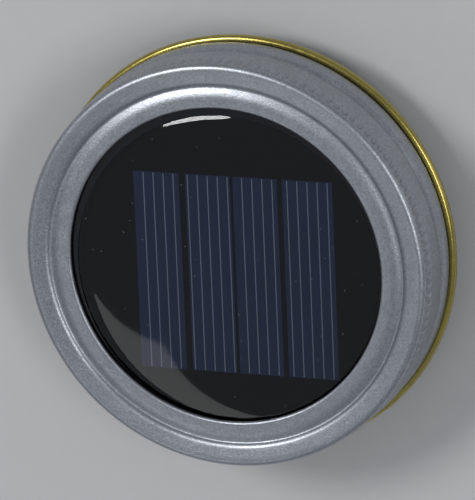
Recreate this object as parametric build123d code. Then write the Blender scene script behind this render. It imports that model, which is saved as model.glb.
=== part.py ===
"""Solar lid light for a regular-mouth mason jar, in millimetres.

+Z is the lid's axis with the solar face up, and +Y runs along the cells' silver fingers. The
origin is below the screw band's centre, at the height of the bottom cover's outer face.
"""

import math
import os

from build123d import *

# Screw band: formed steel sheet for the 70-450 jar finish
BAND_T = 0.35
BEAD_R = 36.5
BEAD_TUBE_R = 0.75
BEAD_Z = 7.0
WALL_R = 35.3
BAND_TOP_Z = 21.2
WINDOW_R = 27.45
WINDOW_Z = 20.6
LIP_H = 0.5
DISH_R = (29.8, 31.25, 32.6)
DISH_Z = (20.0, 20.85)
SHOULDER = 0.9
THREAD_PITCH = 5.08
THREAD_TURNS = 1.1
THREAD_DEPTH = 0.95
THREAD_START_Z = 9.1
THREAD_START_DEG = -160
THREAD_CREST_H = 1.3
THREAD_ROOT_H = 2.9

# Insert: the moulded housing and what it holds. It lies loose in the band, off its axis by SLIP.
SLIP = (0.3, -0.8)
FLANGE_R = 32.9
FLANGE_Z = (17.75, 19.55)
CUP_R = 27.8
CUP_WALL = 1.3
RECESS_R = 26.8
RECESS_Z = 16.9
FLOOR_T = 1.3
COVER_T = 2.2
GASKET_R = (29.0, 32.9)
GASKET_Z = (16.05, 17.65)

# Solar panel
PAD_T = 0.4
PANEL_T = 1.0
PANEL_R = 26.0
CELL_T = 0.25
CELL_LENGTH = 34.6
CELL_CENTRE = (1.0, -1.3)
CELL_EDGES = ((-17.55, -9.45), (-8.35, -0.45), (0.05, 7.85), (8.75, 17.55))
RESIN_EDGE_Z = 19.5
RESIN_TOP_Z = 20.15
RESIN_CROWN = 4.0
WIRE_SLOT_X = (-4.0, 4.0)
WIRE_SLOT_Y = (-20.3, -17.3)

# Battery bay, along X, for one AAA cell
BATTERY_Y = 3.5
BATTERY_Z = 7.6
BATTERY_R = 5.25
BATTERY_X = (-22.25, 22.25)
BAY_X = (-23.65, 23.65)
BAY_Y = (-2.3, 9.3)
BAY_TOP_Z = 13.3
BAY_WALL = 1.0
SPRING_SEAT_X = -24.4
CONTACT_T = 0.4
LUG_Z = (9.2, 11.0)
SPRING_R = (3.3, 1.9)
SPRING_WIRE_R = 0.35
SPRING_TURNS = 4

# Battery door, hinged along its inner edge
HINGE_Y = -4.6
HINGE_Z = 0.75
HINGE_R = 0.75
HINGE_GAP = 0.2
DOOR_T = 1.2
DOOR_X = 23.4
DOOR_Y = 10.3
DOOR_GAP = 0.15
PIN_R = 0.5
PIN_FIT = 0.06
PIN_LENGTH = 1.0

# Circuit, light and switch
BOARD_X = 15.3
BOARD_Y = (-19.5, -5.2)
BOARD_Z = (7.0, 8.0)
LED_Y = -12.2
LED_R = 2.4
LED_PITCH = 2.54
LENS_R = 6.1
LENS_STEP = 0.6
LENS_STEP_Z = 1.1
SWITCH_AT = (10.9, -14.0)
SWITCH_TRAVEL = 2.0
SWITCH_SLOT = (4.8, 2.0)
WIRE_R = 0.6
WIRE_BEND_R = (1.8, 2.2)

# Fasteners
COVER_SCREW_R = 22.5
COVER_SCREW_DEG = (90, 215, 325)
COVER_SHANK_R = 1.05
COVER_BOSS_R = 2.6
COVER_SEAT_Z = 1.3
BOARD_SCREWS = ((-12.4, -8.0), (12.4, -8.0))
BOARD_SHANK_R = 0.8
BOARD_BOSS_R = 1.8
SCREW_FIT = 0.05

LOW = (Align.CENTER, Align.CENTER, Align.MIN)
CORNER = (Align.MIN, Align.MIN, Align.MIN)


def disc(radius, z, at=(0, 0)):
    """A round plate or rod between two heights."""
    return Pos(at[0], at[1], z[0]) * Cylinder(radius, z[1] - z[0], align=LOW)


def ring(outer, inner, z, at=(0, 0)):
    """A round plate with a round hole."""
    return disc(outer, z, at) - disc(inner, z, at)


def block(x, y, z):
    """A box between two values along each axis."""
    return Pos(x[0], y[0], z[0]) * Box(x[1] - x[0], y[1] - y[0], z[1] - z[0], align=CORNER)


def centred(at, width, depth, z):
    """A box between two heights, this wide along X and this deep along Y about a point."""
    x, y = at
    return block((x - width / 2, x + width / 2), (y - depth / 2, y + depth / 2), z)


def rod_x(radius, x, y, z):
    """A round rod along X."""
    return Pos(x[0], y, z) * Rot(0, 90, 0) * Cylinder(radius, x[1] - x[0], align=LOW)


def egg(centre, half_axes):
    """An ellipsoid."""
    return Pos(*centre) * scale(Sphere(1.0), by=half_axes)


def wire(points, bends):
    """An insulated wire: straight runs joined by tangent arcs."""
    path = FilletPolyline(*points, radius=bends)
    section = Plane(origin=path @ 0, z_dir=path % 0) * Circle(WIRE_R)
    return sweep(section, path=path)


def pan_screw(head_r, head_h, shank_r, length, at, z):
    """A cross-headed screw pointing up, with the underside of its head at height z."""
    head = disc(head_r, (z - head_h, z), at)
    head = fillet(head.edges().sort_by(Axis.Z)[0], 0.5 * head_h)
    depth = (z - head_h - 1, z - 0.45 * head_h)
    arm = centred(at, 1.2 * head_r, 0.28 * head_r, depth)
    cross = centred(at, 0.28 * head_r, 1.2 * head_r, depth)
    return head + disc(shank_r, (z - 0.01, z + length), at) - arm - cross


def polar(radius, degrees):
    angle = math.radians(degrees)
    return (radius * math.cos(angle), radius * math.sin(angle))


def cover_screw_places():
    return [polar(COVER_SCREW_R, angle) for angle in COVER_SCREW_DEG]


# --- Screw band -----------------------------------------------------------------------------------


def band_sheet():
    """The band's sheet before its thread is rolled: lip, dished top, shoulder and plain wall."""
    outer = [
        (WINDOW_R, WINDOW_Z - LIP_H),
        (WINDOW_R + 0.15, WINDOW_Z - 0.1),
        (WINDOW_R + 0.45, WINDOW_Z),
        (DISH_R[0], WINDOW_Z),
        (DISH_R[1], DISH_Z[0]),
        (DISH_R[2], DISH_Z[1]),
        (WALL_R - SHOULDER, BAND_TOP_Z),
        (WALL_R - 0.15 * SHOULDER, BAND_TOP_Z - 0.4 * SHOULDER),
        (WALL_R, BAND_TOP_Z - SHOULDER),
        (WALL_R, BEAD_Z + 0.2),
    ]
    line = Polyline(*[(r, 0, z) for r, z in outer])
    section = make_face(offset(line, amount=BAND_T, side=Side.RIGHT, kind=Kind.INTERSECTION))
    return revolve(section, Axis.Z)


def thread(crest_r, root_r, crest_h, root_h):
    """A helical ridge of trapezoid section, from its root radius in to its crest radius."""
    height = THREAD_TURNS * THREAD_PITCH
    helix = Pos(0, 0, THREAD_START_Z) * Helix(THREAD_PITCH, height, root_r)
    root, crest = root_h / 2, crest_h / 2
    tooth = [(root_r, -root), (root_r, root), (crest_r, crest), (crest_r, -crest)]
    section = make_face(Polyline(*[(r, 0, THREAD_START_Z + z) for r, z in tooth], close=True))
    return Rot(0, 0, THREAD_START_DEG) * sweep(section, path=helix, is_frenet=True)


def screw_band():
    wall_in = WALL_R - BAND_T
    bead = revolve(Plane.XZ * Pos(BEAD_R - BEAD_TUBE_R, BEAD_Z) * Circle(BEAD_TUBE_R), Axis.Z)
    ridge = thread(wall_in - THREAD_DEPTH, wall_in + 0.05, THREAD_CREST_H, THREAD_ROOT_H)
    groove = thread(WALL_R - THREAD_DEPTH, WALL_R + 0.3, THREAD_CREST_H - 0.4, THREAD_ROOT_H - 0.4)
    return band_sheet() + bead + ridge - groove


def jar_gasket():
    return ring(GASKET_R[1], GASKET_R[0], GASKET_Z)


# --- Solar panel ----------------------------------------------------------------------------------


def panel_pad():
    return disc(PANEL_R - 2.5, (RECESS_Z, RECESS_Z + PAD_T)) - panel_wire_hole(RECESS_Z - 1)


def panel_wire_hole(z):
    """The slot that the panel's wires pass through."""
    return block(WIRE_SLOT_X, WIRE_SLOT_Y, (z, z + 4))


def panel_board():
    z = RECESS_Z + PAD_T
    return disc(PANEL_R, (z, z + PANEL_T))


def solar_cell(edges):
    z = RECESS_Z + PAD_T + PANEL_T
    x = [CELL_CENTRE[0] + edge for edge in edges]
    y = [CELL_CENTRE[1] - CELL_LENGTH / 2, CELL_CENTRE[1] + CELL_LENGTH / 2]
    return block(x, y, (z, z + CELL_T))


def panel_resin():
    """Clear resin that fills the recess, crowns in from its edge and is nearly flat over the cells."""
    low = RECESS_Z + PAD_T + PANEL_T
    edge = (RECESS_R, RESIN_EDGE_Z)
    crown = [(RECESS_R - RESIN_CROWN, RESIN_TOP_Z - 0.1), (0, RESIN_TOP_Z)]
    with BuildSketch(Plane.XZ) as section:
        with BuildLine():
            Polyline((0, RESIN_TOP_Z), (0, low), (RECESS_R, low), edge)
            Spline(edge, *crown, tangents=[(-1, 0.6), (-1, 0)])
        make_face()
    resin = revolve(section.sketch, Axis.Z)
    for edges in CELL_EDGES:
        resin = resin - solar_cell(edges)
    return resin


# --- Housing --------------------------------------------------------------------------------------


def solar_housing():
    floor_z = RECESS_Z - FLOOR_T
    inner = CUP_R - CUP_WALL
    body = disc(FLANGE_R, FLANGE_Z) + disc(CUP_R, (COVER_T, FLANGE_Z[0] + 0.5))
    body = fillet(body.edges().filter_by(GeomType.CIRCLE).sort_by(Axis.Z)[-1], 0.3)
    body = body - disc(RECESS_R, (RECESS_Z, FLANGE_Z[1] + 1))
    body = body - disc(inner, (COVER_T - 1, floor_z)) - panel_wire_hole(floor_z - 1)
    for place in cover_screw_places():
        body = body + disc(COVER_BOSS_R, (COVER_T + 0.05, floor_z + 0.1), place)
        body = body - disc(COVER_SHANK_R + SCREW_FIT, (0, 11), place)
    for place in BOARD_SCREWS:
        body = body + disc(BOARD_BOSS_R, (BOARD_Z[1], floor_z + 0.1), place)
        body = body - disc(BOARD_SHANK_R + SCREW_FIT, (0, 12.5), place)
    return body


# --- Bottom cover and battery door ----------------------------------------------------------------


def bay_space():
    """The open space of the battery bay, with its deeper seat for the spring."""
    bay = block(BAY_X, BAY_Y, (DOOR_T, BAY_TOP_Z))
    seat = block((SPRING_SEAT_X, BAY_X[0] + 1), (BATTERY_Y - 3.8, BATTERY_Y + 3.8), (COVER_T, 12.4))
    return bay + seat


def lug_slots():
    """Where the contacts' solder lugs leave the bay."""
    z = (LUG_Z[0] - 0.2, LUG_Z[1] + 0.2)
    depth = CONTACT_T + 0.1
    right = block((BAY_X[1] - depth, BAY_X[1]), (BAY_Y[0] - 2, BAY_Y[0] + 1), z)
    left = block((SPRING_SEAT_X, SPRING_SEAT_X + depth), (BATTERY_Y - 9, BATTERY_Y), z)
    return right + left


def bottom_cover():
    inner = CUP_R - CUP_WALL
    plate = disc(CUP_R, (0, COVER_T))
    plate = chamfer(plate.edges().sort_by(Axis.Z)[0], 0.5)
    lip = ring(inner - 0.15, inner - 1.0, (COVER_T, COVER_T + 1.2))
    box_x = (SPRING_SEAT_X - BAY_WALL, BAY_X[1] + BAY_WALL)
    box_y = (BAY_Y[0] - BAY_WALL, BAY_Y[1] + BAY_WALL)
    box_z = (1, BAY_TOP_Z + BAY_WALL)
    cover = plate + lip + (block(box_x, box_y, box_z) & disc(inner - 0.3, box_z))
    cover = cover - bay_space() - lug_slots() - door_space() - light_hole() - switch_slot()
    for place in cover_screw_places():
        cover = cover - disc(COVER_BOSS_R + 0.2, (COVER_T, 5), place)
        cover = cover - disc(COVER_SHANK_R + 0.2, (-1, 5), place)
        cover = cover - disc(2.3, (-1, COVER_SEAT_Z), place)
    return cover


def door_space():
    """The rebate that the door lies in, its hinge channel, pin sockets and finger notch."""
    x = DOOR_X + DOOR_GAP
    rebate = block((-x, x), (HINGE_Y, DOOR_Y + DOOR_GAP), (-1, DOOR_T + 0.1))
    channel = rod_x(HINGE_R + HINGE_GAP, (-x, x), HINGE_Y, HINGE_Z)
    mouth = block((-x, x), (HINGE_Y - HINGE_R - HINGE_GAP, HINGE_Y), (-1, HINGE_Z))
    reach = x + PIN_LENGTH + 0.1
    sockets = rod_x(PIN_R + PIN_FIT, (-reach, reach), HINGE_Y, HINGE_Z)
    notch = egg((0, DOOR_Y + 1.2, 0), (4.8, 2.1, 1.2))
    return (rebate & disc(CUP_R - 1.2, (-1, 3))) + channel + mouth + sockets + notch


def battery_door():
    """A plate with a knuckle and two end pins along its hinge edge, and a catch and ribs inside."""
    plate = block((-DOOR_X, DOOR_X), (HINGE_Y, DOOR_Y), (0, DOOR_T)) & disc(CUP_R - 1.4, (-1, 3))
    knuckle = rod_x(HINGE_R, (-DOOR_X, DOOR_X), HINGE_Y, HINGE_Z)
    pins = rod_x(PIN_R, (-DOOR_X - PIN_LENGTH, DOOR_X + PIN_LENGTH), HINGE_Y, HINGE_Z)
    catch = block((-3, 3), (8.0, 8.9), (DOOR_T - 0.1, 3.2))
    lip = Pos(-3, 8.85, 2.6) * Rot(0, 90, 0) * Cylinder(0.14, 6, align=LOW)
    ribs = [block((x - 0.4, x + 0.4), (-1.2, 0.4), (DOOR_T - 0.1, 2.3)) for x in (-16, 16)]
    return plate + knuckle + pins + catch + lip + ribs


def light_hole():
    """The stepped hole that the frosted window is glued into."""
    at = (0, LED_Y)
    through = disc(LENS_R - LENS_STEP, (-1, COVER_T + 1), at)
    return through + disc(LENS_R, (LENS_STEP_Z, COVER_T + 1), at)


def light_window():
    """The frosted window: a stepped disc, dished over the lamp to spread its light."""
    at = (0, LED_Y)
    window = disc(LENS_R - LENS_STEP - 0.05, (0.3, LENS_STEP_Z + 0.1), at)
    window = window + disc(LENS_R - 0.05, (LENS_STEP_Z, 2.0), at)
    return window - Pos(0, LED_Y, 4.9) * Sphere(1.5 * LED_R)


def switch_slot():
    """The slot that the slider moves in, with a shallow dish for a fingertip."""
    slot = centred(SWITCH_AT, *SWITCH_SLOT, (-1, COVER_T + 1))
    return slot + egg((*SWITCH_AT, -0.8), (4.6, 3.0, 1.7))


# --- Battery and contacts -------------------------------------------------------------------------


def battery_can():
    low, high = BATTERY_X
    can = rod_x(BATTERY_R - 0.2, (low, high - 1.1), BATTERY_Y, BATTERY_Z)
    return fillet(can.edges().filter_by(GeomType.CIRCLE), 0.4)


def battery_sleeve():
    x = (BATTERY_X[0] + 0.3, BATTERY_X[1] - 1.3)
    hole = rod_x(BATTERY_R - 0.19, (x[0] - 1, x[1] + 1), BATTERY_Y, BATTERY_Z)
    return rod_x(BATTERY_R, x, BATTERY_Y, BATTERY_Z) - hole


def battery_button():
    high = BATTERY_X[1]
    button = rod_x(1.9, (high - 1.1, high), BATTERY_Y, BATTERY_Z)
    button = fillet(button.edges().filter_by(GeomType.CIRCLE).sort_by(Axis.X)[-1], 0.3)
    washer = rod_x(3.6, (high - 1.1, high - 0.9), BATTERY_Y, BATTERY_Z)
    return button + washer


def contact_plate():
    x = (BAY_X[1] - CONTACT_T, BAY_X[1])
    plate = block(x, (BATTERY_Y - 4, BATTERY_Y + 4), (2.4, 12.6))
    dimple = rod_x(1.5, (BATTERY_X[1] + 0.06, x[1]), BATTERY_Y, BATTERY_Z)
    lug = block(x, (BAY_Y[0] - 2.2, BATTERY_Y), LUG_Z)
    return plate + dimple + lug


def contact_spring():
    """A spring plate with a short conical coil, closed turn on turn, against the can's flat end."""
    x = (SPRING_SEAT_X, SPRING_SEAT_X + CONTACT_T)
    plate = block(x, (BATTERY_Y - 3.6, BATTERY_Y + 3.6), (2.4, 12.2))
    lug = block(x, (BATTERY_Y - 8.2, BATTERY_Y), LUG_Z)
    spring = plate + lug
    first = x[1] + 0.7 * SPRING_WIRE_R
    last = BATTERY_X[0] - SPRING_WIRE_R - 0.06
    for turn in range(SPRING_TURNS):
        share = turn / (SPRING_TURNS - 1)
        at = Pos(first + share * (last - first), BATTERY_Y, BATTERY_Z)
        radius = SPRING_R[0] + share * (SPRING_R[1] - SPRING_R[0])
        spring = spring + at * Rot(0, 90, 0) * Torus(radius, SPRING_WIRE_R)
    return spring


# --- Circuit --------------------------------------------------------------------------------------


def circuit_board():
    board = block((-BOARD_X, BOARD_X), BOARD_Y, BOARD_Z)
    board = fillet(board.edges().filter_by(Axis.Z), 1.0)
    for place in BOARD_SCREWS:
        board = board - disc(1.0, (0, 12), place)
    for x in (-LED_PITCH / 2, LED_PITCH / 2):
        board = board - disc(0.45, (0, 12), (x, LED_Y))
    return board


def led():
    """The lamp, pointing down: a collar, a round body and a rounded tip."""
    at = (0, LED_Y)
    collar = disc(LED_R + 0.35, (5.9, 6.6), at)
    body = disc(LED_R, (3.6, 6.0), at)
    tip = egg((0, LED_Y, 3.6), (LED_R, LED_R, 1.1))
    return collar + body + tip - led_pins((6.0, 7.0))


def led_pins(z):
    return Part() + [centred((x, LED_Y), 0.5, 0.5, z) for x in (-LED_PITCH / 2, LED_PITCH / 2)]


def led_legs():
    return led_pins((6.0, 8.8))


def driver_chip():
    """A four-legged driver in a flat moulded package."""
    x, y, z = -7.5, -14.5, BOARD_Z[1]
    body = centred((x, y), 5.2, 2.0, (z + 1.6, z + 5.2))
    body = chamfer(body.edges().filter_by(Axis.Z).sort_by(Axis.Y)[:2], 0.5)
    pitch = 1.27
    legs = [centred((x + i * pitch, y), 0.4, 0.4, (z, z + 1.7)) for i in (-1.5, -0.5, 0.5, 1.5)]
    return body + legs


def inductor():
    """An axial inductor with bent leads."""
    x, y, z = 0.0, -8.0, BOARD_Z[1] + 1.8
    body = rod_x(1.5, (x - 3.2, x + 3.2), y, z)
    body = fillet(body.edges().filter_by(GeomType.CIRCLE), 0.7)
    leads = rod_x(0.3, (x - 4.9, x + 4.9), y, z)
    feet = [disc(0.3, (BOARD_Z[1], z + 0.3), (x + side, y)) for side in (-4.9, 4.9)]
    return body + leads + feet


def capacitor():
    """A ceramic disc on two legs."""
    x, y, z = 7.5, -15.5, BOARD_Z[1]
    coin = Pos(x, y - 0.9, z + 3.6) * Rot(-90, 0, 0) * Cylinder(2.4, 1.8, align=LOW)
    coin = fillet(coin.edges().filter_by(GeomType.CIRCLE), 0.6)
    legs = [disc(0.3, (z, z + 2.4), (x + side, y)) for side in (-1.25, 1.25)]
    return coin + legs


def board_screws():
    screws = [pan_screw(1.6, 0.9, BOARD_SHANK_R, 5.2, at, BOARD_Z[0]) for at in BOARD_SCREWS]
    return Part() + screws


def cover_screws():
    places = cover_screw_places()
    return Part() + [pan_screw(2.0, 1.1, COVER_SHANK_R, 8.5, at, COVER_SEAT_Z) for at in places]


def switch_body():
    return centred(SWITCH_AT, 8.4, 3.7, (3.5, BOARD_Z[0])) - centred(SWITCH_AT, 4.4, 1.8, (3, 4.6))


def switch_slider():
    """The knob at its rest end, with ridges for the fingertip."""
    x, y = SWITCH_AT[0] - SWITCH_TRAVEL / 2, SWITCH_AT[1]
    shoe = centred((x, y), 2.2, 1.6, (3.7, 4.5))
    stem = centred((x, y), 1.8, 1.6, (0.45, 3.8))
    grooves = [centred((x + i, y), 0.24, 2.0, (0, 0.65)) for i in (-0.45, 0, 0.45)]
    return shoe + stem - grooves


def panel_lead(side):
    """From the panel's underside, through the slot, down to the circuit board."""
    x = 2.0 * side
    points = [(x, -18.8, 17.2), (x, -18.8, 13.4), (1.6 * x, -16.6, 10.6), (1.6 * x, -16.6, BOARD_Z[1])]
    return wire(points, WIRE_BEND_R[1])


def battery_lead(side):
    """From a contact's lug, round the bay's corner, to the end of the circuit board."""
    lug = BAY_X[1] - CONTACT_T if side > 0 else -(SPRING_SEAT_X + CONTACT_T)
    x = side * (lug - WIRE_R)
    start = (x, BAY_Y[0] - 1.65, 10.1)
    end = (side * 14.2, -10.4, BOARD_Z[1])
    return wire([start, (x, -7.6, 10.9), (end[0], end[1], 12.4), end], WIRE_BEND_R[0])


# --- Writing --------------------------------------------------------------------------------------


def insert_nodes():
    """Every piece that the insert is made of, about the insert's own axis."""
    nodes = {
        "solar_housing": solar_housing(),
        "panel_pad": panel_pad(),
        "panel_board": panel_board(),
        "panel_resin": panel_resin(),
        "bottom_cover": bottom_cover(),
        "battery_door": battery_door(),
        "light_window": light_window(),
        "battery_can": battery_can(),
        "battery_sleeve": battery_sleeve(),
        "battery_button": battery_button(),
        "contact_plate": contact_plate(),
        "contact_spring": contact_spring(),
        "circuit_board": circuit_board(),
        "led": led(),
        "led_legs": led_legs(),
        "driver_chip": driver_chip(),
        "inductor": inductor(),
        "capacitor": capacitor(),
        "switch_body": switch_body(),
        "switch_slider": switch_slider(),
        "cover_screws": cover_screws(),
        "board_screws": board_screws(),
        "panel_lead_red": panel_lead(1),
        "panel_lead_black": panel_lead(-1),
        "battery_lead_red": battery_lead(1),
        "battery_lead_black": battery_lead(-1),
    }
    for number, edges in enumerate(CELL_EDGES, start=1):
        nodes[f"solar_cell_{number}"] = solar_cell(edges)
    return nodes


def write_parts():
    os.makedirs("parts", exist_ok=True)
    nodes = {name: Pos(SLIP[0], SLIP[1], 0) * shape for name, shape in insert_nodes().items()}
    nodes["screw_band"] = screw_band()
    nodes["jar_gasket"] = jar_gasket()
    for name, shape in nodes.items():
        export_step(shape, f"parts/{name}.step")


write_parts()
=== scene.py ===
"""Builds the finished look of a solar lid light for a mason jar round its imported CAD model.

Everything is in metres, in the model's own frame: +Z is the lid's axis with the solar face up, and
+Y runs along the cells' silver fingers. Outlines are in millimetres and are scaled by MM.
"""

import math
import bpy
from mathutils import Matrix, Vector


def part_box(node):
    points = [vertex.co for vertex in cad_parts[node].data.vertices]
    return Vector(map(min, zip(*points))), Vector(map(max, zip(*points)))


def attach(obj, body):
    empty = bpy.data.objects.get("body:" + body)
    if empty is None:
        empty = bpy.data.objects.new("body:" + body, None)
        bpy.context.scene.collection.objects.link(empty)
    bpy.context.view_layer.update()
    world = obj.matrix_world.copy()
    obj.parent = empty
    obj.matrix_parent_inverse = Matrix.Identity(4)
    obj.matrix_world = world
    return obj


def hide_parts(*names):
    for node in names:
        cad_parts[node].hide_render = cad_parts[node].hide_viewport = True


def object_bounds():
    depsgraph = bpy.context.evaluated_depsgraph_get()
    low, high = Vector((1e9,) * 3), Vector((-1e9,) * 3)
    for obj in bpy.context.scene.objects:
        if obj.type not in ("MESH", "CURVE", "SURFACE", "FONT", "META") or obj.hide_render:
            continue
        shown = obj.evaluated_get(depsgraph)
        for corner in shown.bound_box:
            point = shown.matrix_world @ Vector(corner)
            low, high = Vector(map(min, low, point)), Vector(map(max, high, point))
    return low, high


bl_info = {
    "name": "Solar jar lid light",
    "version": (1, 0, 0),
    "blender": (4, 5, 0),
    "location": "3D View > Sidebar > Jar Lid",
    "description": "Builds the band, solar panel, insert and studio of a solar mason jar lid",
    "category": "Object",
}

import bpy
from mathutils import Matrix, Vector

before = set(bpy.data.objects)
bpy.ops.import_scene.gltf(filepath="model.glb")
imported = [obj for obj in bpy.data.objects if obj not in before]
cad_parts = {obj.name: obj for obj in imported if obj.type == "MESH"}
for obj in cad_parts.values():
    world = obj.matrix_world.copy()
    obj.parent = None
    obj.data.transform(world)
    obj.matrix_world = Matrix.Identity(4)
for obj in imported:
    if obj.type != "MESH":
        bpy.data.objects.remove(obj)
CAD_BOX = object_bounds()

MM = 0.001


def middle(node):
    """The centre of a CAD node's box."""
    low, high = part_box(node)
    return (low + high) / 2


BAND = middle("screw_band")


# --- Colour and node helpers ----------------------------------------------------------------------


def linear(code):
    """An sRGB hex colour as linear RGBA."""
    channels = [int(code[i : i + 2], 16) / 255 for i in (1, 3, 5)]
    return (*[c / 12.92 if c <= 0.04045 else ((c + 0.055) / 1.055) ** 2.4 for c in channels], 1.0)


def add(tree, kind, inputs=None, **settings):
    """Adds a node, sets its settings, and gives its inputs their values or links."""
    node = tree.nodes.new(kind)
    for key, value in settings.items():
        setattr(node, key, value)
    for key, value in (inputs or {}).items():
        if isinstance(value, bpy.types.NodeSocket):
            tree.links.new(value, node.inputs[key])
        else:
            node.inputs[key].default_value = value
    return node


def shade(colour, amount):
    """The same colour, this much lighter or darker."""
    return (*[amount * c for c in colour[:3]], 1.0)


def per_mm(size):
    """The texture scale that gives a pattern of this size in millimetres."""
    return 1 / (size * MM)


def new_material(name):
    """An empty material with its output and the piece's own coordinates, in metres."""
    material = bpy.data.materials.new(name)
    material.use_nodes = True
    tree = material.node_tree
    tree.nodes.clear()
    output = add(tree, "ShaderNodeOutputMaterial")
    place = add(tree, "ShaderNodeTexCoord").outputs["Object"]
    return material, tree, output, place


def finish(tree, output, surface):
    """Gives the material its surface."""
    tree.links.new(surface.outputs[0], output.inputs["Surface"])


def grain(tree, place, size, low, high, detail=2.0):
    """Noise of this grain size in millimetres, spread between two values."""
    inputs = {"Vector": place, "Scale": per_mm(size), "Detail": detail}
    noise = add(tree, "ShaderNodeTexNoise", inputs).outputs["Fac"]
    spread = {"Value": noise, "From Min": 0.3, "From Max": 0.7, "To Min": low, "To Max": high}
    return add(tree, "ShaderNodeMapRange", spread).outputs["Result"]


def mottle(tree, place, size, first, second, detail=2.0):
    """Two colours that wander into each other in clouds of this size in millimetres."""
    inputs = {0: grain(tree, place, size, 0.0, 1.0, detail), 6: first, 7: second}
    return add(tree, "ShaderNodeMix", inputs, data_type="RGBA").outputs[2]


def relief(tree, place, size, depth, strength, detail=2.0):
    """Bumps of this size whose relief is this deep, both in millimetres."""
    height = grain(tree, place, size, 0.0, 1.0, detail)
    inputs = {"Height": height, "Strength": strength, "Distance": depth * MM}
    return add(tree, "ShaderNodeBump", inputs).outputs[0]


# --- Materials ------------------------------------------------------------------------------------

# Cast epoxy's index, which also dulls what lies in it
RESIN_IOR = 1.52

# Moulded and dipped finishes: roughness, then the size and depth of the texture in millimetres
RUBBER_FINISH = (0.5, 0.3, 0.01)
POLISHED_FINISH = (0.14, 1.5, 0.004)
SPARK_FINISH = (0.42, 0.35, 0.03)
ACETAL_FINISH = (0.35, 0.5, 0.01)
WIRE_FINISH = (0.38, 0.6, 0.01)
LAMP_FINISH = (0.1, 1.0, 0.002)
CHIP_FINISH = (0.5, 0.2, 0.01)
COIL_FINISH = (0.22, 0.9, 0.03)
CERAMIC_FINISH = (0.2, 0.9, 0.03)
FOAM_FINISH = (0.85, 0.3, 0.12)
# Platings' roughness
ZINC_ROUGHNESS = 0.32
NICKEL_ROUGHNESS = 0.24
TIN_ROUGHNESS = 0.26
# Width of a copper track in millimetres
TRACK_WIDTH = 0.4


def galvanised_steel(colour):
    """Zinc-plated steel sheet, stamped: satin, with a fine bright grain and soft cloudy spangle.

    The grain is drawn at 0.3 mm, about three times as coarse as the real one, so that it shows.
    """
    material, tree, output, place = new_material("galvanised_steel")
    clouds = mottle(tree, place, 4.0, shade(colour, 0.86), colour, 3.0)
    values = {
        "Base Color": mottle(tree, place, 0.3, shade(colour, 0.66), clouds, 1.0),
        "Metallic": 1.0,
        "Roughness": grain(tree, place, 0.28, 0.3, 0.46),
        "Normal": relief(tree, place, 0.25, 0.02, 0.6, 3.0),
    }
    finish(tree, output, add(tree, "ShaderNodeBsdfPrincipled", values))
    return material


def gold_lacquer(colour):
    """Clear gold food-can lacquer over tinplate: yellow, glossy, with faint flow marks."""
    material, tree, output, place = new_material("gold_lacquer")
    values = {
        "Base Color": mottle(tree, place, 2.5, shade(colour, 0.8), colour),
        "Metallic": 1.0,
        "Roughness": grain(tree, place, 0.5, 0.2, 0.3),
        "Coat Weight": 0.5,
        "Coat Roughness": 0.08,
        "Normal": relief(tree, place, 2.5, 0.02, 0.2),
    }
    finish(tree, output, add(tree, "ShaderNodeBsdfPrincipled", values))
    return material


def moulded_plastic(name, colour, roughness, texture, depth):
    """A moulded plastic, coloured through, its gloss broken by the mould's texture in millimetres."""
    material, tree, output, place = new_material(name)
    values = {
        "Base Color": mottle(tree, place, 9.0, shade(colour, 0.85), colour),
        "IOR": 1.53,
        "Roughness": grain(tree, place, 2.0, 0.8 * roughness, 1.2 * roughness),
        "Normal": relief(tree, place, texture, depth, 0.5),
    }
    finish(tree, output, add(tree, "ShaderNodeBsdfPrincipled", values))
    return material


def plated_metal(name, colour, roughness):
    """A thin bright plating on a small stamped or turned piece, with fine handling marks."""
    material, tree, output, place = new_material(name)
    values = {
        "Base Color": mottle(tree, place, 1.2, shade(colour, 0.8), colour),
        "Metallic": 1.0,
        "Roughness": grain(tree, place, 0.4, 0.75 * roughness, 1.3 * roughness),
        "Normal": relief(tree, place, 0.25, 0.01, 0.4),
    }
    finish(tree, output, add(tree, "ShaderNodeBsdfPrincipled", values))
    return material


def frosted_acrylic(colour):
    """Cast acrylic, sanded on its outer face: milky, with a soft sheen and light in its body."""
    material, tree, output, place = new_material("frosted_acrylic")
    values = {
        "Base Color": mottle(tree, place, 3.0, shade(colour, 0.94), colour),
        "IOR": 1.49,
        "Roughness": grain(tree, place, 0.6, 0.45, 0.6),
        "Subsurface Weight": 0.6,
        "Subsurface Scale": 1.5 * MM,
        "Normal": relief(tree, place, 0.18, 0.01, 0.5),
    }
    finish(tree, output, add(tree, "ShaderNodeBsdfPrincipled", values))
    return material


def shrink_film(film, tip, tip_x):
    """PVC film shrunk on a battery: glossy, with faint waves, and printed silver beyond a line."""
    material, tree, output, place = new_material("shrink_film")
    along = add(tree, "ShaderNodeSeparateXYZ", {0: place}).outputs["X"]
    beyond = add(tree, "ShaderNodeMath", {0: along, 1: tip_x}, operation="GREATER_THAN").outputs[0]
    ink = {0: beyond, 6: mottle(tree, place, 6.0, shade(film, 0.88), film), 7: tip}
    values = {
        "Base Color": add(tree, "ShaderNodeMix", ink, data_type="RGBA").outputs[2],
        "IOR": 1.53,
        "Roughness": grain(tree, place, 1.5, 0.16, 0.26),
        "Normal": relief(tree, place, 5.0, 0.03, 0.3),
    }
    finish(tree, output, add(tree, "ShaderNodeBsdfPrincipled", values))
    return material


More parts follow.
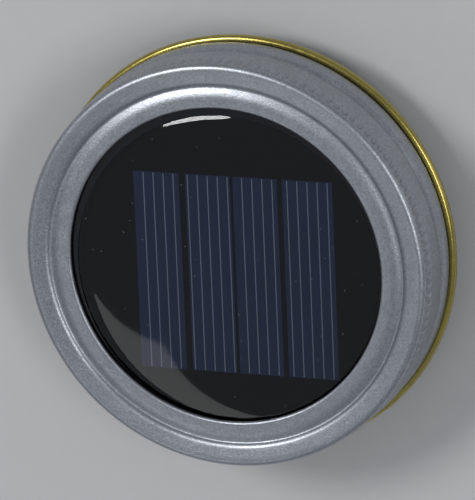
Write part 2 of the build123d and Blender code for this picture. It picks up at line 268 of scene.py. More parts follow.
def solder_mask(colour, track_width):
    """Solder mask over copper tracks, which show as paler, slightly raised lines."""
    material, tree, output, place = new_material("green_solder_mask")
    inputs = {"Vector": place, "Scale": per_mm(4 * track_width), "Mortar Size": 0.1}
    tracks = add(tree, "ShaderNodeTexBrick", inputs).outputs["Fac"]
    ink = {0: tracks, 6: colour, 7: shade(colour, 1.6)}
    height = {"Height": tracks, "Strength": 0.6, "Distance": 0.035 * MM}
    values = {
        "Base Color": add(tree, "ShaderNodeMix", ink, data_type="RGBA").outputs[2],
        "IOR": 1.56,
        "Roughness": grain(tree, place, 1.0, 0.22, 0.34),
        "Normal": add(tree, "ShaderNodeBump", height).outputs[0],
    }
    finish(tree, output, add(tree, "ShaderNodeBsdfPrincipled", values))
    return material


def potted_board(colour):
    """Black solder mask under cast resin. The two have nearly the same index, so it has no gloss
    of its own, and only its fine tooth shows."""
    material, tree, output, place = new_material("potted_black_board")
    values = {
        "Base Color": mottle(tree, place, 1.5, shade(colour, 0.7), colour, 3.0),
        "IOR": 1.53 / RESIN_IOR,
        "Roughness": grain(tree, place, 0.8, 0.5, 0.7),
        "Normal": relief(tree, place, 0.8, 0.01, 0.4),
    }
    finish(tree, output, add(tree, "ShaderNodeBsdfPrincipled", values))
    return material


def silicon_wafer(colour):
    """Coated monocrystalline silicon under resin: dark navy, faintly streaked along the saw marks."""
    material, tree, output, place = new_material("silicon_wafer")
    drawn = {"Vector": place, "Scale": (1.0, 0.06, 1.0)}
    along = add(tree, "ShaderNodeMapping", drawn).outputs[0]
    values = {
        "Base Color": mottle(tree, along, 0.5, shade(colour, 0.78), colour, 3.0),
        "IOR": 1.9 / RESIN_IOR,
        "Metallic": 0.1,
        "Roughness": grain(tree, place, 0.6, 0.34, 0.46),
        "Normal": relief(tree, place, 0.15, 0.005, 0.3),
    }
    finish(tree, output, add(tree, "ShaderNodeBsdfPrincipled", values))
    return material


def silver_paste(colour):
    """Fired silver paste, screen printed: pale matte grey with a gritty surface."""
    material, tree, output, place = new_material("silver_paste")
    values = {
        "Base Color": mottle(tree, place, 0.2, shade(colour, 0.7), colour),
        "Metallic": 0.4,
        "Roughness": 0.55,
        "Normal": relief(tree, place, 0.08, 0.01, 0.5),
    }
    finish(tree, output, add(tree, "ShaderNodeBsdfPrincipled", values))
    return material


def casting_resin(dust):
    """Clear cast epoxy: it shows what lies under it and mirrors the lights, with settled dust."""
    material, tree, output, place = new_material("casting_resin")
    wave = relief(tree, place, 7.0, 0.02, 0.07, 1.0)
    mirror = {"Color": (1, 1, 1, 1), "Roughness": 0.03, "Normal": wave}
    gloss = add(tree, "ShaderNodeBsdfGlossy", mirror).outputs[0]
    clear = add(tree, "ShaderNodeBsdfTransparent", {"Color": (0.96, 0.97, 0.98, 1)}).outputs[0]
    edge = add(tree, "ShaderNodeFresnel", {"IOR": RESIN_IOR, "Normal": wave}).outputs[0]
    coat = add(tree, "ShaderNodeMixShader", {0: edge, 1: clear, 2: gloss}).outputs[0]
    cells = {"Vector": place, "Scale": per_mm(2.0), "Randomness": 1.0}
    specks = add(tree, "ShaderNodeTexVoronoi", cells).outputs["Distance"]
    size = {"Value": specks, "From Min": 0.04, "From Max": 0.07, "To Min": dust, "To Max": 0.0}
    spots = add(tree, "ShaderNodeMapRange", size).outputs["Result"]
    lint = add(tree, "ShaderNodeBsdfDiffuse", {"Color": (0.4, 0.41, 0.45, 1)}).outputs[0]
    finish(tree, output, add(tree, "ShaderNodeMixShader", {0: spots, 1: coat, 2: lint}))
    return material


def studio_paper(colour):
    """Matte studio paper with a faint tooth. Only its upper face shows, so that the lid's
    underside can be seen from below."""
    material, tree, output, place = new_material("studio_paper")
    tone = mottle(tree, place, 3.0, shade(colour, 0.985), colour)
    paper = add(tree, "ShaderNodeBsdfDiffuse", {"Color": tone, "Roughness": 0.6}).outputs[0]
    behind = add(tree, "ShaderNodeNewGeometry").outputs["Backfacing"]
    clear = add(tree, "ShaderNodeBsdfTransparent").outputs[0]
    finish(tree, output, add(tree, "ShaderNodeMixShader", {0: behind, 1: paper, 2: clear}))
    return material


# --- Mesh helpers ---------------------------------------------------------------------------------


def new_piece(name, vertices, faces, materials, face_materials=None, smooth=True):
    """A mesh object from its points and faces."""
    mesh = bpy.data.meshes.new(name)
    mesh.from_pydata([tuple(v) for v in vertices], [], faces)
    for material in materials:
        mesh.materials.append(material)
    if face_materials:
        mesh.polygons.foreach_set("material_index", face_materials)
    mesh.polygons.foreach_set("use_smooth", [smooth] * len(mesh.polygons))
    mesh.validate()
    mesh.update()
    piece = bpy.data.objects.new(name, mesh)
    bpy.context.scene.collection.objects.link(piece)
    return piece


def rounded_path(corners, steps=5):
    """Points along an outline of (radius, height, fillet) corners, each corner drawn as an arc."""
    points = []
    for i, (r, z, fillet) in enumerate(corners):
        here = Vector((r, z))
        if fillet == 0 or i in (0, len(corners) - 1):
            points.append(here)
            continue
        back = (Vector(corners[i - 1][:2]) - here).normalized()
        ahead = (Vector(corners[i + 1][:2]) - here).normalized()
        half = math.acos(max(-1, min(1, back.dot(ahead)))) / 2
        reach = fillet / math.tan(half)
        centre = here + (back + ahead).normalized() * fillet / math.sin(half)
        start, end = here + back * reach - centre, here + ahead * reach - centre
        turn = start.angle_signed(end)
        for step in range(steps + 1):
            angle = -turn * step / steps
            points.append(centre + Matrix.Rotation(angle, 2) @ start)
    return points


def resampled(points, spacing):
    """The same path with extra points, so that none are further apart than the spacing."""
    dense = [points[0]]
    for a, b in zip(points, points[1:]):
        count = max(1, math.ceil((b - a).length / spacing))
        dense += [a.lerp(b, step / count) for step in range(1, count + 1)]
    return dense


def on_circle(centre, radius, angle, z):
    """A point at a radius and an angle about a vertical axis, in metres."""
    return (centre.x + radius * math.cos(angle), centre.y + radius * math.sin(angle), z)


def lathe(name, outline, centre, segments, materials, strips=None):
    """Turns an outline of (radius, height) points in millimetres about a vertical axis. The strips
    say which material each part of the outline has."""
    vertices, faces, rings, sides = [], [], [], []
    for r, z in outline:
        if r < 1e-6:
            rings.append([len(vertices)] * segments)
            vertices.append((centre.x, centre.y, z * MM))
            continue
        rings.append(list(range(len(vertices), len(vertices) + segments)))
        for i in range(segments):
            vertices.append(on_circle(centre, r * MM, 2 * math.pi * i / segments, z * MM))
    for k, (lower, upper) in enumerate(zip(rings, rings[1:])):
        for i in range(segments):
            j = (i + 1) % segments
            corners = dict.fromkeys((lower[i], lower[j], upper[j], upper[i]))
            if len(corners) > 2:
                faces.append(tuple(corners))
                sides.append(strips[k] if strips else 0)
    return new_piece(name, vertices, faces, materials, sides)


def cut_plate(name, outline, x, bevel, material):
    """A plate across X with this outline of (Y, Z) points and softly broken edges, in metres."""
    count = len(outline)
    vertices = [(end, *point) for end in x for point in outline]
    faces = [tuple(range(count))[::-1], tuple(range(count, 2 * count))]
    faces += [(i, (i + 1) % count, (i + 1) % count + count, i + count) for i in range(count)]
    piece = new_piece(name, vertices, faces, [material], smooth=False)
    edge = piece.modifiers.new("rounded edges", "BEVEL")
    edge.width = bevel
    edge.segments = 3
    return piece


def tube(name, points, radius, material):
    """A round wire through these points, in metres, as a curve."""
    curve = bpy.data.curves.new(name, "CURVE")
    curve.dimensions = "3D"
    curve.bevel_depth = radius
    curve.bevel_resolution = 5
    curve.use_fill_caps = True
    line = curve.splines.new("POLY")
    line.points.add(len(points) - 1)
    for point, place in zip(line.points, points):
        point.co = (*place, 1)
    line.use_smooth = True
    curve.materials.append(material)
    piece = bpy.data.objects.new(name, curve)
    bpy.context.scene.collection.objects.link(piece)
    return piece


def paint(material, *nodes):
    """Gives CAD nodes a material."""
    for node in nodes:
        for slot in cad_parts[node].material_slots:
            slot.material = material


# --- Settings -------------------------------------------------------------------------------------


def colour_setting(name, description, code):
    """A colour that can be changed in the sidebar, from its sRGB hex code."""
    return bpy.props.FloatVectorProperty(
        name=name, description=description, subtype="COLOR", size=4, min=0, max=1, default=linear(code)
    )


def length_setting(name, description, millimetres):
    """A length that can be changed in the sidebar."""
    return bpy.props.FloatProperty(
        name=name,
        description=description,
        subtype="DISTANCE",
        unit="LENGTH",
        precision=5,
        default=millimetres * MM,
    )


class BandSettings(bpy.types.PropertyGroup):
    """The screw band's sheet, knurl and thread."""

    thickness: length_setting("Sheet", "Thickness of the steel sheet", 0.35)
    flutes: bpy.props.IntProperty(name="Flutes", description="Flutes round the knurl", default=132)
    flute_depth: length_setting("Knurl depth", "How deep the knurl's flutes are", 0.65)
    thread_depth: length_setting("Thread depth", "How far the thread stands in", 0.9)
    pitch: length_setting("Pitch", "Rise of the thread in one turn", 5.08)
    steel: colour_setting("Steel", "Colour of the galvanised steel", "#BFC3CA")
    lacquer: colour_setting("Lacquer", "Colour of the gold lacquer inside the band", "#BFAE5C")


class PanelSettings(bpy.types.PropertyGroup):
    """The solar panel's cells and fingers."""

    finger_width: length_setting("Finger width", "Width of a printed silver finger", 0.17)
    finger_spacing: length_setting("Finger spacing", "Distance between silver fingers", 1.765)
    silicon: colour_setting("Silicon", "Colour of the coated silicon", "#1C2A4C")
    silver: colour_setting("Silver", "Colour of the fired silver paste", "#8A92A6")
    board: colour_setting("Board", "Colour of the panel's solder mask", "#0C0D10")
    dust: bpy.props.FloatProperty(
        name="Dust", description="How thickly dust lies on the resin", subtype="FACTOR", default=0.3
    )


class InsertSettings(bpy.types.PropertyGroup):
    """The insert's plastics, seal and fasteners."""

    black: colour_setting("Housing", "Colour of the polished ABS housing", "#111216")
    cover: colour_setting("Cover", "Colour of the textured ABS cover and door", "#232427")
    rubber: colour_setting("Seal", "Colour of the silicone ring", "#D5D4CC")
    frosted: colour_setting("Window", "Colour of the frosted lamp window", "#EDECE4")
    knob: colour_setting("Switch", "Colour of the switch's slider", "#D6D5CF")
    zinc: colour_setting("Screws", "Colour of the zinc-plated screws", "#B8BBBF")


class BatterySettings(bpy.types.PropertyGroup):
    """The battery and its contacts."""

    film: colour_setting("Film", "Colour of the battery's shrink film", "#2C6B49")
    tip: colour_setting("Band", "Colour of the film's printed end", "#B9BBB8")
    nickel: colour_setting("Nickel", "Colour of the nickel-plated steel", "#C9C5BC")
    wire: length_setting("Spring wire", "Thickness of the spring's wire", 0.56)
    turns: bpy.props.IntProperty(name="Turns", description="Turns of the spring", default=3)


class CircuitSettings(bpy.types.PropertyGroup):
    """The circuit board and what is soldered to it."""

    mask: colour_setting("Mask", "Colour of the board's solder mask", "#1C6B3A")
    tin: colour_setting("Tin", "Colour of the tinned copper", "#C8C8C4")
    lamp: colour_setting("Lamp", "Colour of the lamp's epoxy", "#F0EACB")
    chip: colour_setting("Chip", "Colour of the driver's moulded epoxy", "#1A1A1B")
    coil: colour_setting("Inductor", "Colour of the inductor's dipped lacquer", "#4C8A63")
    ceramic: colour_setting("Capacitor", "Colour of the capacitor's dipped lacquer", "#C98A3A")
    red: colour_setting("Red wire", "Colour of the positive leads", "#A81E1A")
    black: colour_setting("Black wire", "Colour of the negative leads", "#1B1B1C")
    foam: colour_setting("Foam", "Colour of the foam tape under the panel", "#3A3A3B")


class StudioSettings(bpy.types.PropertyGroup):
    """The floor, the lights and the camera."""

    floor: colour_setting("Floor", "Colour of the studio paper", "#D6D6D6")
    sky: bpy.props.FloatProperty(
        name="Fill", description="Strength of the even fill light", default=0.28
    )
    key: bpy.props.FloatProperty(
        name="Key", description="Radiance of the main softbox, in W/m2/sr", default=12.5
    )


# --- Screw band -----------------------------------------------------------------------------------

# Heights and radii in millimetres, from the CAD band's box
BAND_LOW, BAND_HIGH = (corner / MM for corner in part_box("screw_band"))
TOP_Z = BAND_HIGH.z
BEAD_R = (BAND_HIGH.x - BAND_LOW.x) / 2
BEAD_TUBE_R = 0.75
BEAD_Z = BAND_LOW.z + BEAD_TUBE_R
BEAD_STEPS_DEG = range(180, 491, 18)
WALL_R = BEAD_R - 1.2
WALL_LOW_Z = BEAD_Z + 0.3
# The window's lip, and the shallow dish between it and the shoulder, with the fillet at each bend
WINDOW_R = 27.45
WINDOW_Z = TOP_Z - 0.6
LIP_HEIGHT = 0.55
LIP_FILLET = 0.3
DISH_R = (29.75, 31.25, 31.8, 33.6)
DISH_Z = (WINDOW_Z, TOP_Z - 1.12, TOP_Z - 0.5, TOP_Z - 0.2)
DISH_FILLETS = (4.0, 0.6, 1.1, 3.5)
SHOULDER_FILLET = 0.85
# The knurl: the strip that it fills, and how far in from each end it fades
KNURL_Z = (BEAD_Z + 10.3, TOP_Z - 0.7)
KNURL_FADE = 1.1
# The thread: where its middle is, how far its flat crest and its flanks reach, and its run-out in turns
THREAD_MIDDLE_Z = BEAD_Z + 4.9
THREAD_FACES_DEG = 40
THREAD_TURNS = 1.1
THREAD_RUN_OUT = 0.06
THREAD_CREST = 0.2
THREAD_ABOVE = 2.1
THREAD_BELOW = 0.9
# Beyond this radius and above this height, the sheet is wall, and can be pressed
WALL_FROM = (WALL_R - 1, BEAD_Z + 1)
# The plain lands beside the thread: how far they flare out, and where they turn in to the bead
LAND_FLARE = 0.35
LAND_BELOW = 1.4
LAND_FOOT_Z = (BEAD_Z + 1.1, BEAD_Z + 1.7)
# The mesh's spacing down the sheet, in millimetres, and round it, in faces for each flute
SHEET_SPACING = 0.5
FACES_PER_FLUTE = 5


def eased(value, low, high):
    """0 below low, 1 above high, and a smooth step between."""
    share = max(0.0, min(1.0, (value - low) / (high - low)))
    return share * share * (3 - 2 * share)


def thread_form(angle, z, pitch):
    """How far the thread presses the sheet in, and the lands beside it flare out, from 0 to 1."""
    turn = angle / (2 * math.pi) - THREAD_FACES_DEG / 360
    press = flare = 0.0
    for along in (turn - 1, turn):
        ends = eased(THREAD_TURNS / 2 - abs(along), 0.0, THREAD_RUN_OUT)
        if ends == 0:
            continue
        middle_z = THREAD_MIDDLE_Z + along * pitch
        if z > middle_z:
            flank = 1 - eased(z - middle_z, THREAD_CREST, THREAD_ABOVE)
            land = (KNURL_Z[0] - z) / (KNURL_Z[0] - middle_z - THREAD_ABOVE)
        else:
            flank = 1 - eased(middle_z - z, THREAD_CREST, THREAD_BELOW)
            land = (middle_z - z - THREAD_BELOW) / LAND_BELOW
        press = max(press, ends * flank)
        flare = max(flare, ends * min(1.0, land))
    return press, flare * eased(z, *LAND_FOOT_Z)


def flute_share(angle, z, flutes):
    """How far the knurl presses the sheet in, from 0 on its ridges to 1 in its sharp valleys."""
    low, high = KNURL_Z
    strip = eased(z, low, low + KNURL_FADE) * (1 - eased(z, high - KNURL_FADE, high))
    return strip * (1 - abs(math.sin(flutes * angle / 2)))


def wall_press(angle, z, settings):
    """How far the wall is pressed in from its plain radius, in metres."""
    press, flare = thread_form(angle, z, settings.pitch / MM)
    knurl = settings.flute_depth * flute_share(angle, z, settings.flutes)
    return knurl + settings.thread_depth * press - LAND_FLARE * MM * flare


def band_centre_line(thickness):
    """The middle of the sheet, from the window's lip over the top and down to the curl's end."""
    half = thickness / 2
    wall = WALL_R - half
    dish = [(r, z - half, fillet) for r, z, fillet in zip(DISH_R, DISH_Z, DISH_FILLETS)]
    corners = [
        (WINDOW_R + half, WINDOW_Z - LIP_HEIGHT, 0),
        (WINDOW_R + half, WINDOW_Z - half, LIP_FILLET),
        *dish,
        (wall, TOP_Z - half, SHOULDER_FILLET),
        (wall, WALL_LOW_Z, 0),
    ]
    line = resampled(rounded_path(corners), SHEET_SPACING)
    tube_r = BEAD_TUBE_R - half
    centre = Vector((BEAD_R - BEAD_TUBE_R, BEAD_Z))
    for degrees in BEAD_STEPS_DEG:
        angle = math.radians(degrees)
        line.append(centre + tube_r * Vector((math.cos(angle), math.sin(angle))))
    return line


def sheet_sides(line, thickness):
    """The line moved half a sheet's thickness each way. Above the thread, the inner side has half
    the points."""
    outer, inner = [], []
    for i, point in enumerate(line):
        along = (line[min(i + 1, len(line) - 1)] - line[max(i - 1, 0)]).normalized()
        across = Vector((-along.y, along.x)) * thickness / 2
        outer.append(point + across)
        if i % 2 == 0 or i == len(line) - 1 or point.y < KNURL_Z[0]:
            inner.append(point - across)
    return outer, inner


def band_shell(settings):
    """The band as one closed sheet: zinc outside, gold lacquer inside and on the rolled bead."""
    thickness = settings.thickness / MM
    outer, inner = sheet_sides(band_centre_line(thickness), thickness)
    loop = outer + inner[::-1]
    segments = settings.flutes * FACES_PER_FLUTE
    vertices = []
    for r, z in loop:
        on_wall = r > WALL_FROM[0] and z > WALL_FROM[1]
        for i in range(segments):
            angle = 2 * math.pi * i / segments
            pressed = wall_press(angle, z, settings) if on_wall else 0.0
            vertices.append(on_circle(BAND, r * MM - pressed, angle, z * MM))
    faces, sides = [], []
    for k in range(len(loop)):
        below, above = k * segments, (k + 1) % len(loop) * segments
        for i in range(segments):
            j = (i + 1) % segments
            faces.append((below + i, below + j, above + j, above + i))
            sides.append(0 if k < len(outer) else 1)
    materials = [galvanised_steel(tuple(settings.steel)), gold_lacquer(tuple(settings.lacquer))]
    return new_piece("band_shell", vertices, faces, materials, sides)


class JARLID_OT_screw_band(bpy.types.Operator):
    """Build the formed steel band with its knurl, thread and rolled bead"""

    bl_idname = "jarlid.screw_band"
    bl_label = "Screw Band"

    def execute(self, context):
        shell = band_shell(context.scene.jarlid_band)
        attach(shell, "band")
        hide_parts("screw_band")
        return {"FINISHED"}


# --- Seal and housing -----------------------------------------------------------------------------


# The silicone ring's width and the roundness of its edges, in millimetres
SEAL_WIDTH = 3.9
SEAL_EDGE = 0.3
SEAL_EDGE_STEPS = 6
SEAL_SEGMENTS = 192


class JARLID_OT_housing(bpy.types.Operator):
    """Build the black housing and the silicone seal under its flange"""

    bl_idname = "jarlid.housing"
    bl_label = "Housing and Seal"

    def execute(self, context):
        settings = context.scene.jarlid_insert
        rubber = moulded_plastic("silicone_rubber", tuple(settings.rubber), *RUBBER_FINISH)
        low, high = (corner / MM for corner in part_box("jar_gasket"))
        outer = (high.x - low.x) / 2
        inner = outer - SEAL_WIDTH
        path = [(outer, low.z), (outer, high.z), (inner, high.z), (inner, low.z)]
        path = [(r, z, SEAL_EDGE) for r, z in path]
        ring = rounded_path([path[-1], *path, path[0]], SEAL_EDGE_STEPS)[1:-1]
        seal = lathe("seal_ring", [*ring, ring[0]], middle("jar_gasket"), SEAL_SEGMENTS, [rubber])
        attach(seal, "gasket")
        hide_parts("jar_gasket")
        polished = moulded_plastic("polished_abs", tuple(settings.black), *POLISHED_FINISH)
        paint(polished, "solar_housing")
        return {"FINISHED"}


# --- Solar panel ----------------------------------------------------------------------------------

# Silver fingers: how many lie on each cell, from the first to the last, and how far a row of four
# is off its cell's middle, as a share of the spacing
FINGERS = (4, 5, 4, 5)
FOUR_FINGER_SHIFT = 0.22
# A finger's margin at its ends, its height, and its flat top's share of its width
FINGER_MARGIN = 0.15 * MM
FINGER_HEIGHT = 0.03 * MM
FINGER_TOP = 0.6
# The resin's edge: its height in millimetres, its steepest slope, and how far in and how quickly it
# rolls over
RESIN_EDGE_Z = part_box("solar_housing")[1].z / MM - 0.03
RESIN_SLOPE_DEG = 20
RESIN_ROLL = 1.2
RESIN_ROLL_POWER = 1.8
RESIN_STEPS = 60
RESIN_SEGMENTS = 256
# How far the resin's underside reaches into the board, and its wall stands clear of the housing
RESIN_OVERLAP = 0.05
RESIN_CLEARANCE = 0.02


def cell_fingers(number, count, settings, silver):
    """The silver fingers of one cell, as thin raised strips along Y."""
    low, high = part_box(f"solar_cell_{number}")
    pitch = settings.finger_spacing
    middle_x = (low.x + high.x) / 2 + pitch * (FOUR_FINGER_SHIFT if count == 4 else 0.0)
    vertices, faces = [], []
    for index in range(count):
        x = middle_x + (index - (count - 1) / 2) * pitch
        half = settings.finger_width / 2
        base = len(vertices)
        for y in (low.y + FINGER_MARGIN, high.y - FINGER_MARGIN):
            for share, rise in ((-1, 0), (-FINGER_TOP, 1), (FINGER_TOP, 1), (1, 0)):
                vertices.append((x + share * half, y, high.z + rise * FINGER_HEIGHT))
        for k in range(3):
            faces.append((base + k, base + k + 1, base + k + 5, base + k + 4))
        faces.append((base + 3, base + 2, base + 1, base))
        faces.append((base + 4, base + 5, base + 6, base + 7))
        faces.append((base, base + 4, base + 7, base + 3))
    return new_piece(f"cell_fingers_{number}", vertices, faces, [silver], smooth=False)


def resin_outline(edge_r, low_z):
    """The resin from its hidden underside, round its edge and over its crown, in millimetres."""
    wall_r, under_z = edge_r - RESIN_CLEARANCE, low_z - RESIN_OVERLAP
    outline = [Vector((0, under_z)), Vector((wall_r, under_z))]
    outline.append(Vector((wall_r, RESIN_EDGE_Z - RESIN_CLEARANCE / 2)))
    z, last_r = RESIN_EDGE_Z, edge_r
    for step in range(RESIN_STEPS + 1):
        r = edge_r * math.cos(math.pi / 2 * step / RESIN_STEPS)
        inwards = edge_r - (r + last_r) / 2
        slope = math.radians(RESIN_SLOPE_DEG) / (1 + (inwards / RESIN_ROLL) ** RESIN_ROLL_POWER)
        z += math.tan(slope) * (last_r - r)
        last_r = r
        outline.append(Vector((r, z)))
    return outline


class JARLID_OT_panel(bpy.types.Operator):
    """Build the solar panel: board, cells, silver fingers and the clear resin over them"""

    bl_idname = "jarlid.panel"
    bl_label = "Solar Panel"

    def execute(self, context):
        settings = context.scene.jarlid_panel
        silver = silver_paste(tuple(settings.silver))
        silicon = silicon_wafer(tuple(settings.silicon))
        for number, count in enumerate(FINGERS, start=1):
            fingers = cell_fingers(number, count, settings, silver)
            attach(fingers, "insert")
            paint(silicon, f"solar_cell_{number}")
        board = potted_board(tuple(settings.board))
        paint(board, "panel_board")
        low, high = (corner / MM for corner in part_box("panel_resin"))
        outline = resin_outline((high.x - low.x) / 2, low.z)
        # The underside and wall, where the resin wets black plastic, show only what is behind them
        strips = [1, 1] + [0] * (len(outline) - 3)
        materials = [casting_resin(settings.dust), board]
        centre = middle("panel_resin")
        dome = lathe("resin_dome", outline, centre, RESIN_SEGMENTS, materials, strips)
        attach(dome, "insert")
        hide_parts("panel_resin")
        return {"FINISHED"}


# --- Cover, door, lamp window and switch ----------------------------------------------------------


class JARLID_OT_cover(bpy.types.Operator):
    """Finish the bottom cover, the battery door, the lamp window, the switch and the screws"""

    bl_idname = "jarlid.cover"
    bl_label = "Bottom Cover"

    def execute(self, context):
        settings = context.scene.jarlid_insert
        textured = moulded_plastic("spark_textured_abs", tuple(settings.cover), *SPARK_FINISH)
        paint(textured, "bottom_cover", "battery_door")
        paint(frosted_acrylic(tuple(settings.frosted)), "light_window")
        knob = moulded_plastic("acetal", tuple(settings.knob), *ACETAL_FINISH)
        paint(knob, "switch_slider")
        zinc = plated_metal("zinc_plate", tuple(settings.zinc), ZINC_ROUGHNESS)
        paint(zinc, "cover_screws", "board_screws", "switch_body")
        return {"FINISHED"}


# --- Battery and contacts -------------------------------------------------------------------------

# How much of the battery's film is printed silver, in metres
SILVER_END = 10 * MM
# The spring, in metres: its plate's thickness, half width and lug, and its widest and narrowest turn
SPRING_PLATE = 0.4 * MM
SPRING_HALF_WIDTH = 3.6 * MM
SPRING_LUG_Z = (9.2 * MM, 11.0 * MM)
SPRING_R = (3.3 * MM, 1.9 * MM)
SPRING_BEVEL = 0.08 * MM
POINTS_PER_TURN = 48


def spring_plate(nickel):
    """The stamped plate that the spring is riveted to, with its solder lug to one side."""
    low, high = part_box("contact_spring")
    lug_low, lug_high = SPRING_LUG_Z
    side = high.y - 2 * SPRING_HALF_WIDTH
    outline = [
        (high.y, low.z),
        (high.y, high.z),
        (side, high.z),
        (side, lug_high),
        (low.y, lug_high),
        (low.y, lug_low),
        (side, lug_low),
        (side, low.z),
    ]
    return cut_plate("spring_plate", outline, (low.x, low.x + SPRING_PLATE), SPRING_BEVEL, nickel)


def spring_coil(settings, nickel):
    """A conical coil of round wire, pressed nearly flat by the battery."""
    low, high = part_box("contact_spring")
    radius = settings.wire / 2
    axis = Vector((0, high.y - SPRING_HALF_WIDTH, middle("battery_can").z))
    start, end = low.x + SPRING_PLATE + radius, high.x - radius
    count = settings.turns * POINTS_PER_TURN
    points = []
    for i in range(count + 1):
        share = i / count
        turn = 2 * math.pi * settings.turns * share
        reach = SPRING_R[0] + share * (SPRING_R[1] - SPRING_R[0])
        x = start + share * (end - start)
        points.append(axis + Vector((x, reach * math.cos(turn), reach * math.sin(turn))))
    return tube("spring_coil", points, radius, nickel)


class JARLID_OT_battery(bpy.types.Operator):
    """Build the battery's spring and finish the battery and its contacts"""

    bl_idname = "jarlid.battery"
    bl_label = "Battery and Contacts"

    def execute(self, context):
        settings = context.scene.jarlid_battery
        nickel = plated_metal("nickel_plate", tuple(settings.nickel), NICKEL_ROUGHNESS)
        paint(nickel, "battery_can", "battery_button", "contact_plate")
        tip_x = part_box("battery_sleeve")[1].x - SILVER_END
        film = shrink_film(tuple(settings.film), tuple(settings.tip), tip_x)
        paint(film, "battery_sleeve")
        for piece in (spring_plate(nickel), spring_coil(settings, nickel)):
            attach(piece, "insert")
            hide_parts("contact_spring")
        return {"FINISHED"}


# --- Circuit --------------------------------------------------------------------------------------


class JARLID_OT_circuit(bpy.types.Operator):
    """Finish the circuit board, its parts, its leads and the foam under the panel"""

    bl_idname = "jarlid.circuit"
    bl_label = "Circuit"

    def execute(self, context):
        settings = context.scene.jarlid_circuit
        paint(solder_mask(tuple(settings.mask), TRACK_WIDTH), "circuit_board")
        paint(plated_metal("tinned_copper", tuple(settings.tin), TIN_ROUGHNESS), "led_legs")
        plastics = {
            "led": ("clear_lamp_epoxy", settings.lamp, LAMP_FINISH),
            "driver_chip": ("moulded_epoxy", settings.chip, CHIP_FINISH),
            "inductor": ("dipped_coil_lacquer", settings.coil, COIL_FINISH),
            "capacitor": ("dipped_ceramic_lacquer", settings.ceramic, CERAMIC_FINISH),
            "panel_pad": ("foam_tape", settings.foam, FOAM_FINISH),
        }
        for node, (name, colour, surface) in plastics.items():
            paint(moulded_plastic(name, tuple(colour), *surface), node)
        red = moulded_plastic("red_pvc", tuple(settings.red), *WIRE_FINISH)
        black = moulded_plastic("black_pvc", tuple(settings.black), *WIRE_FINISH)
        paint(red, "panel_lead_red", "battery_lead_red")
        paint(black, "panel_lead_black", "battery_lead_black")
        return {"FINISHED"}


# --- Studio ---------------------------------------------------------------------------------------

# The floor's corners, its reach in metres, and how far below the lid it lies
FLOOR_CORNERS = ((-1, -1), (1, -1), (1, 1), (-1, 1))
FLOOR_REACH = 3.0
FLOOR_GAP = 0.05 * MM
FILL_COLOUR = (0.88, 0.93, 1.0, 1.0)

# Each light's azimuth and elevation in degrees, its distance, width and height in metres, its
# radiance as a share of the key's, and its shape. The side card fills the skirt, the top light draws
# a line along the shoulder, and the low card is there to be seen in the resin.
LIGHTS = {
    "key_light": (139.6, 55.5, 0.7, 0.23, 0.23, 1.0, "ELLIPSE"),
    "side_card": (15, 20, 0.9, 0.5, 0.25, 0.05, "RECTANGLE"),
    "top_light": (8, 56, 0.9, 0.15, 0.35, 0.6, "RECTANGLE"),
    "low_card": (238.3, 45, 0.8, 0.16, 0.49, 0.075, "RECTANGLE"),
}

CAMERA_AIM_MM = Vector((-2.0, -1.1, 8.1))
CAMERA_DISTANCE_MM = 1040.0
CAMERA_AZIMUTH_DEG = 43.1
CAMERA_ELEVATION_DEG = 63.8
CAMERA_ROLL_DEG = -2.4
CAMERA_LENS_MM = 443.0
CAMERA_CLIP = (0.05, 20)


def aim(thing, place, target, up=Vector((0, 1, 0))):
    """Puts a camera or light at a place, looking at a target with its top towards up."""
    back = (place - target).normalized()
    right = up.cross(back).normalized()
    top = back.cross(right)
    thing.matrix_world = Matrix.Translation(place) @ Matrix((right, top, back)).transposed().to_4x4()


def direction(azimuth, elevation):
    """A unit vector at an azimuth from +X towards +Y and an elevation, in degrees."""
    a, e = math.radians(azimuth), math.radians(elevation)
    return Vector((math.cos(a) * math.cos(e), math.sin(a) * math.cos(e), math.sin(e)))


def softbox(name, key, target):
    """One of the soft lights, shining on the target, for this radiance of the key light."""
    azimuth, elevation, distance, width, height, share, shape = LIGHTS[name]
    area = width * height * (math.pi / 4 if shape == "ELLIPSE" else 1)
    lamp = bpy.data.lights.new(name, "AREA")
    lamp.shape = shape
    lamp.size, lamp.size_y = width, height
    lamp.energy = share * key * math.pi * area
    holder = bpy.data.objects.new(name, lamp)
    bpy.context.scene.collection.objects.link(holder)
    aim(holder, target + distance * direction(azimuth, elevation), target)


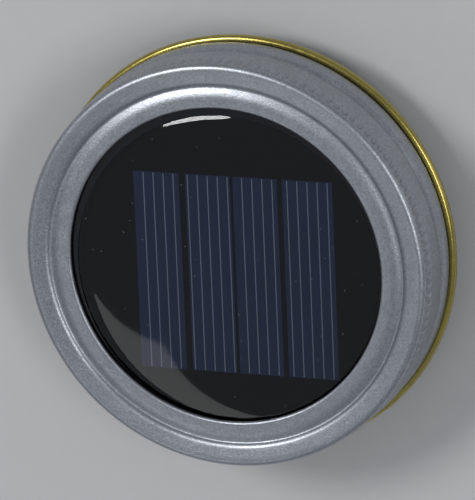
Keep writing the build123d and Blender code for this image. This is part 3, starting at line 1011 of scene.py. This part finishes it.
class JARLID_OT_studio(bpy.types.Operator):
    """Build the pale floor, the soft lights and the camera"""

    bl_idname = "jarlid.studio"
    bl_label = "Studio"

    def execute(self, context):
        settings = context.scene.jarlid_studio
        paper = studio_paper(tuple(settings.floor))
        corners = [(x * FLOOR_REACH, y * FLOOR_REACH, 0) for x, y in FLOOR_CORNERS]
        floor = new_piece("floor", corners, [(0, 1, 2, 3)], [paper], smooth=False)
        floor.location.z = CAD_BOX[0].z - FLOOR_GAP

        world = bpy.data.worlds.new("studio_fill")
        context.scene.world = world
        world.use_nodes = True
        background = world.node_tree.nodes["Background"]
        background.inputs["Color"].default_value = FILL_COLOUR
        background.inputs["Strength"].default_value = settings.sky

        target = (CAD_BOX[0] + CAD_BOX[1]) / 2
        for name in LIGHTS:
            softbox(name, settings.key, target)

        data = bpy.data.cameras.new("camera")
        data.lens = CAMERA_LENS_MM
        camera = bpy.data.objects.new("camera", data)
        context.scene.collection.objects.link(camera)
        view = direction(CAMERA_AZIMUTH_DEG, CAMERA_ELEVATION_DEG)
        place = (CAMERA_AIM_MM + CAMERA_DISTANCE_MM * view) * MM
        aim(camera, place, CAMERA_AIM_MM * MM)
        roll = Matrix.Rotation(math.radians(CAMERA_ROLL_DEG), 4, "Z")
        camera.matrix_world = camera.matrix_world @ roll
        data.clip_start, data.clip_end = CAMERA_CLIP
        context.scene.camera = camera
        context.scene.view_settings.view_transform = "Standard"
        return {"FINISHED"}


# --- Panel and registration -----------------------------------------------------------------------

STEPS = (
    JARLID_OT_studio,
    JARLID_OT_screw_band,
    JARLID_OT_housing,
    JARLID_OT_panel,
    JARLID_OT_cover,
    JARLID_OT_battery,
    JARLID_OT_circuit,
)


class JARLID_PT_build(bpy.types.Panel):
    """Lists the steps that build the lid"""

    bl_label = "Solar Jar Lid"
    bl_idname = "JARLID_PT_build"
    bl_space_type = "VIEW_3D"
    bl_region_type = "UI"
    bl_category = "Jar Lid"

    def draw(self, context):
        for step in STEPS:
            self.layout.operator(step.bl_idname)


SETTINGS = {
    "jarlid_band": BandSettings,
    "jarlid_panel": PanelSettings,
    "jarlid_insert": InsertSettings,
    "jarlid_battery": BatterySettings,
    "jarlid_circuit": CircuitSettings,
    "jarlid_studio": StudioSettings,
}


def register():
    """Registers the settings, the steps and the panel."""
    for cls in (*SETTINGS.values(), *STEPS, JARLID_PT_build):
        bpy.utils.register_class(cls)
    for name, cls in SETTINGS.items():
        setattr(bpy.types.Scene, name, bpy.props.PointerProperty(type=cls))


def unregister():
    """Takes them away again."""
    for name in SETTINGS:
        delattr(bpy.types.Scene, name)
    for cls in reversed((*SETTINGS.values(), *STEPS, JARLID_PT_build)):
        bpy.utils.unregister_class(cls)


def main():
    """Builds everything."""
    register()
    bpy.ops.jarlid.studio()
    bpy.ops.jarlid.screw_band()
    bpy.ops.jarlid.housing()
    bpy.ops.jarlid.panel()
    bpy.ops.jarlid.cover()
    bpy.ops.jarlid.battery()
    bpy.ops.jarlid.circuit()


if __name__ == "__main__":
    main()
